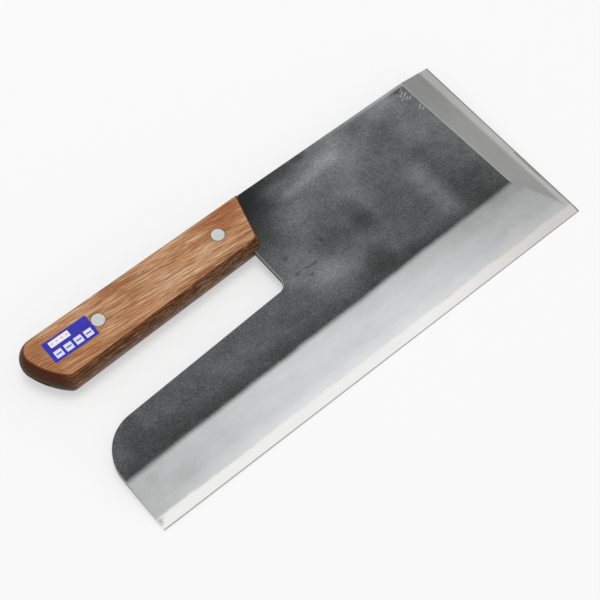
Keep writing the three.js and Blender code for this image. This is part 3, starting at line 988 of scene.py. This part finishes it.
def steel_look():
    look = Look("hard steel", metallic=1.0)
    face = ground_value(look)
    haze = look.mul(look.grains(0.03, 0.05, 0.05, 3), 0.15)
    back_tone = look.add(0.55, look.mul(streaked(look), 0.2), haze)
    on_back = look.smooth(look.normal_z, -0.3, -0.8)
    value = look.add(look.mul(face, look.sub(1.0, on_back)), look.mul(back_tone, on_back))
    warm = look.smooth(look.x, 120, 235)
    plain, warmer = look.shade(value, (1.0, 1.0, 0.98)), look.shade(value, (1.01, 0.99, 0.94))
    colour = with_painted_edge_shade(look, look.blend(warm, plain, warmer))
    rough = look.add(0.3, look.mul(streaked(look), 0.12))
    look.bump(look.mul(grinding(look), 0.005), 1.0)
    return look.paint(colour, rough)


def wood_look():
    look = Look("handle wood", specular=0.25)
    # Grain, at a few degrees to the handle
    along = look.turned(4)
    figure = look.add(
        look.mul(look.grains(0.02, 0.22, 0.22, 3, 0.5, 0.5, look.turned(8)), 0.7),
        look.mul(look.grains(0.04, 0.8, 0.8, 3, 0.55, 0.3, along), 0.24),
    )
    fine = look.grains(0.05, 2.1, 2.1, 3, 0.75, 0.05, along)
    hair = look.grains(0.09, 3.4, 3.4, 2, 0.75, 0.0, look.turned(5.5))
    lines = look.grains(0.022, 1.5, 1.5, 3, 0.7, 0.0, along)
    pale = look.smooth(look.grains(0.1, 2.4, 2.4, 2, 0.5, 0.0, look.turned(5)), 0.1, 0.22)
    pores = look.smooth(look.grains(0.13, 2.8, 2.8, 2, 0.5, 0.0, along), 0.09, 0.2)
    patches = look.add(
        look.blob(107, 95, 12, 7, -0.26),
        look.blob(78, 84, 26, 8, 0.08),
        look.blob(50, 97, 16, 2.6, -0.14),
        look.blob(82, 92, 18, 2.2, -0.12),
        look.blob(46, 90, 14, 2.5, -0.1),
        look.blob(2, 90, 10, 14, -0.1),
        look.blob(88, 78.6, 26, 1.5, -0.34),
        look.blob(38, 77.6, 22, 1.1, -0.24),
    )
    tone = look.add(0.56, figure, look.mul(fine, 1.6), look.mul(hair, 1.7), patches)
    colour = look.ramp(
        tone,
        (0.0, (0.1, 0.031, 0.009)),
        (0.28, (0.195, 0.072, 0.024)),
        (0.5, (0.315, 0.15, 0.062)),
        (0.72, (0.42, 0.25, 0.138)),
        (1.0, (0.6, 0.44, 0.3)),
    )
    warmth = look.add(
        look.blob(106, 95, 17, 10, 0.6),
        look.blob(4, 88, 26, 20, 0.5),
        look.blob(40, 77, 60, 5, 0.3),
        look.blob(40, 96, 14, 3, 0.3),
        0.06,
    )
    colour = look.blend(look.mul(warmth, 0.75), colour, (0.27, 0.085, 0.02))
    colour = look.blend(look.mul(pale, 0.5), colour, (0.62, 0.47, 0.34))
    colour = look.blend(look.mul(pores, 0.65), colour, (0.1, 0.036, 0.013))
    # Sides, butt, arris and neck, which are darker than the faces; on the sides and at the neck the
    # darkening is painted shade
    height = look.maths("ABSOLUTE", look.sub(look.z, MID_PLANE))
    side = look.smooth(height, 7.85, 7.5)
    # Painted shade on the sides, darker higher up, broken by grain streaks
    upper = look.mul(look.smooth(look.z, 1.0, 8.0), 0.08)
    side_shade_and_streaks = look.add(0.8, look.mul(lines, -2.6), look.mul(fine, -0.9), upper)
    side_shade_and_streaks = look.maths("MAXIMUM", side_shade_and_streaks, 0.0, True)
    colour = look.blend(look.mul(side, side_shade_and_streaks), colour, (0.055, 0.018, 0.005))
    # Painted reflection of the floor: a faint greyish lightening low on the sides
    low = look.mul(look.smooth(look.z, 4.0, -2.5), side, 0.06)
    colour = look.blend(low, colour, (0.22, 0.16, 0.1))
    end = look.mul(look.smooth(look.x, 12.0, 5.0), side)
    dark_end = look.mul(end, look.add(0.92, look.mul(fine, -0.7)))
    colour = look.blend(dark_end, colour, (0.046, 0.013, 0.004))
    # Painted shade: the butt is darker and greener low down
    shade = look.mul(end, look.smooth(look.z, 5.0, 1.0), 0.9)
    colour = look.blend(shade, colour, (0.03, 0.027, 0.015))
    strength = look.add(0.4, look.mul(look.smooth(look.x, 14.0, 6.0), 0.35))
    arris = look.mul(look.between(height, 7.3, 7.88, 0.12), strength)
    colour = look.blend(arris, colour, (0.11, 0.035, 0.012))
    # Painted shade: the neck end is darker
    neck = look.mul(look.smooth(look.x, 113.0, 116.5), side)
    colour = look.blend(look.mul(neck, 0.8), colour, (0.05, 0.015, 0.007))
    rough = look.add(0.46, look.mul(side, -0.16), look.mul(fine, 0.25), look.mul(pores, 0.15))
    relief = look.add(look.mul(fine, 0.08), look.mul(hair, 0.03), look.mul(pores, -0.06))
    look.bump(relief, 1.0)
    gloss = look.add(0.25, look.mul(side, -0.15), look.mul(end, -0.05))
    look.give(look.shader.inputs["Specular IOR Level"], gloss)
    return look.paint(colour, rough)


def rivet_look(where, place):
    look = Look(f"{where} rivet aluminium", metallic=1.0)
    centred = look.tree.nodes.new("ShaderNodeVectorMath")
    centred.operation = "SUBTRACT"
    look.give(centred.inputs[0], look.point)
    centred.inputs[1].default_value = (*place, 0)
    length = look.tree.nodes.new("ShaderNodeVectorMath")
    length.operation = "LENGTH"
    look.give(length.inputs[0], look.stretch(centred.outputs[0], 1, 1, 0))
    radius = length.outputs["Value"]
    rubbed = look.grains(0.6, 5.0, 2.0, 4, 0.65, 0.0, look.turned(20))
    mottle = look.grains(0.7, 0.7, 0.7, 3, 0.6)
    # Painted shade by the gap round the head: darker towards its rim
    rim = look.mul(look.smooth(radius, RIVET_HEAD_RADIUS - 0.4, RIVET_HEAD_RADIUS - 0.05), -0.14)
    value = look.add(0.61, look.mul(rubbed, 0.16), look.mul(mottle, 0.16), rim)
    rough = look.add(0.42, look.mul(mottle, 0.2), look.mul(rubbed, 0.1))
    look.bump(look.add(look.mul(rubbed, 0.01), look.mul(mottle, 0.02)), 1.0)
    return look.paint(look.shade(value, (1.0, 1.01, 0.97)), rough)


def label_look():
    """Blue print with a pale bar and a row of four plain blocks, and no lettering."""
    look = Look("printed label", specular=0.3)
    x = look.sub(look.x, LABEL_CENTRE[0] - LABEL_LENGTH / 2)
    y = look.sub(look.y, LABEL_CENTRE[1] - LABEL_WIDTH / 2)
    bar_across = look.between(y, *BAR_ACROSS, PRINT_SOFT)
    bar_mask = look.mul(look.between(x, *BAR_ALONG, PRINT_SOFT), bar_across)
    step = look.maths("FRACT", look.mul(look.sub(x, BLOCK_START), 1 / BLOCK_PITCH))
    blocks = look.mul(
        look.between(step, 0.13, 0.87, 0.015),
        look.between(x, *BLOCKS_ALONG, PRINT_SOFT),
        look.between(y, *BLOCKS_ACROSS, PRINT_SOFT),
    )
    slit_across = look.between(y, *BLOCK_SLIT_ACROSS, PRINT_SOFT)
    slit = look.mul(slit_across, look.between(step, 0.24, 0.76, 0.015), 0.9)
    blocks = look.mul(blocks, look.sub(1.0, slit), 0.85)
    fade = look.grains(0.5, 0.5, 0.5, 4, 0.6)
    wear = look.smooth(look.grains(1.6, 1.6, 1.6, 4, 0.65), 0.2, 0.28)
    ink = look.ramp(look.add(0.5, fade), (0.0, (0.008, 0.006, 0.17)), (1.0, (0.03, 0.024, 0.34)))
    colour = look.blend(blocks, ink, (0.55, 0.56, 0.68))
    colour = look.blend(bar_mask, colour, (0.56, 0.55, 0.57))
    dash = look.maths("FRACT", look.mul(look.sub(x, BAR_ALONG[0]), 1 / DASH_PITCH))
    dash_across = look.between(y, *DASH_ACROSS, PRINT_SOFT)
    marks = look.mul(look.between(dash, 0.25, 0.75, 0.03), dash_across, bar_mask)
    colour = look.blend(look.mul(marks, 0.55), colour, (0.5, 0.16, 0.2))
    colour = look.blend(look.mul(wear, 0.12), colour, (0.35, 0.33, 0.5))
    rough = look.add(0.42, look.mul(fade, 0.15))
    look.bump(look.mul(fade, 0.01), 1.0)
    return look.paint(colour, rough)


# ---- the pieces ----

points, triangles = blade_triangles()
rim = rim_of(triangles)
iron = stepped_solid("blade_iron", points, triangles, iron_levels, rim)
steel = stepped_solid("blade_edge_steel", points, triangles, steel_levels, rim)
finished(iron, iron_look(), "iron", "soft_iron_blade_body")
finished(steel, steel_look(), "hard_steel", "hard_steel_cutting_edge")
finished(cut_handle(), wood_look(), "wood", "wooden_handle_block")
for where, place in RIVETS.items():
    aluminium = rivet_look(where, place)
    finished(rivet_tube(where, place), aluminium, "rivet", f"{where}_rivet_tube_half")
    finished(rivet_pin(where, place), aluminium, "rivet", f"{where}_rivet_pin_half")
finished(label_film(), label_look(), "label", "blank_label")


# ---- stage ----

FLOOR_HALF_M = 3.0
FLOOR_TONE = 0.31
FLOOR_GLOW = 0.48
WORLD_STRENGTH = 1.0
KEY_PLACE_M = (0.05, 0.15, 1.9)
KEY_SIZE_M = 0.9
KEY_POWER_W = 20.0


def make_floor():
    mesh = bpy.data.meshes.new("floor")
    h = FLOOR_HALF_M
    mesh.from_pydata([(-h, -h, 0), (h, -h, 0), (h, h, 0), (-h, h, 0)], [], [(0, 1, 2, 3)])
    floor = bpy.data.objects.new("floor", mesh)
    bpy.context.scene.collection.objects.link(floor)
    look = Look("pale paper", specular=0.0)
    fibre = look.grains(0.3, 0.3, 0.3, 4, 0.6)
    value = look.add(FLOOR_TONE, look.mul(fibre, 0.006))
    mesh.materials.append(look.paint(look.shade(value, (1.0, 1.0, 1.0)), 0.9))
    look.shader.inputs["Emission Color"].default_value = (1, 1, 1, 1)
    look.shader.inputs["Emission Strength"].default_value = FLOOR_GLOW


def make_light():
    world = bpy.data.worlds.new("studio")
    world.use_nodes = True
    background = world.node_tree.nodes["Background"]
    background.inputs["Color"].default_value = (1, 1, 1, 1)
    background.inputs["Strength"].default_value = WORLD_STRENGTH
    bpy.context.scene.world = world
    data = bpy.data.lights.new("key", "AREA")
    data.shape = "DISK"
    data.size = KEY_SIZE_M
    data.energy = KEY_POWER_W
    key = bpy.data.objects.new("key", data)
    bpy.context.scene.collection.objects.link(key)
    key.location = KEY_PLACE_M
    key.visible_glossy = False
    key.rotation_mode = "QUATERNION"
    key.rotation_quaternion = (-Vector(KEY_PLACE_M)).to_track_quat("-Z", "Y")


def make_camera():
    data = bpy.data.cameras.new("camera")
    data.sensor_width = CAMERA_SENSOR
    data.lens = CAMERA_LENS
    data.clip_start = 0.01
    camera = bpy.data.objects.new("camera", data)
    bpy.context.scene.collection.objects.link(camera)
    place, aim = Vector(CAMERA_PLACE) * MM, Vector(CAMERA_AIM) * MM
    sight = (aim - place).normalized()
    level = Vector((0, 1, 0))
    up = Matrix.Rotation(CAMERA_ROLL, 3, sight) @ (level - level.dot(sight) * sight).normalized()
    turn = Matrix((sight.cross(up), up, -sight)).transposed().to_4x4()
    camera.matrix_world = KNIFE @ Matrix.Translation(place) @ turn
    bpy.context.scene.camera = camera


make_floor()
make_light()
make_camera()
bpy.context.scene.view_settings.view_transform = "Standard"

bpy.context.view_layer.update()
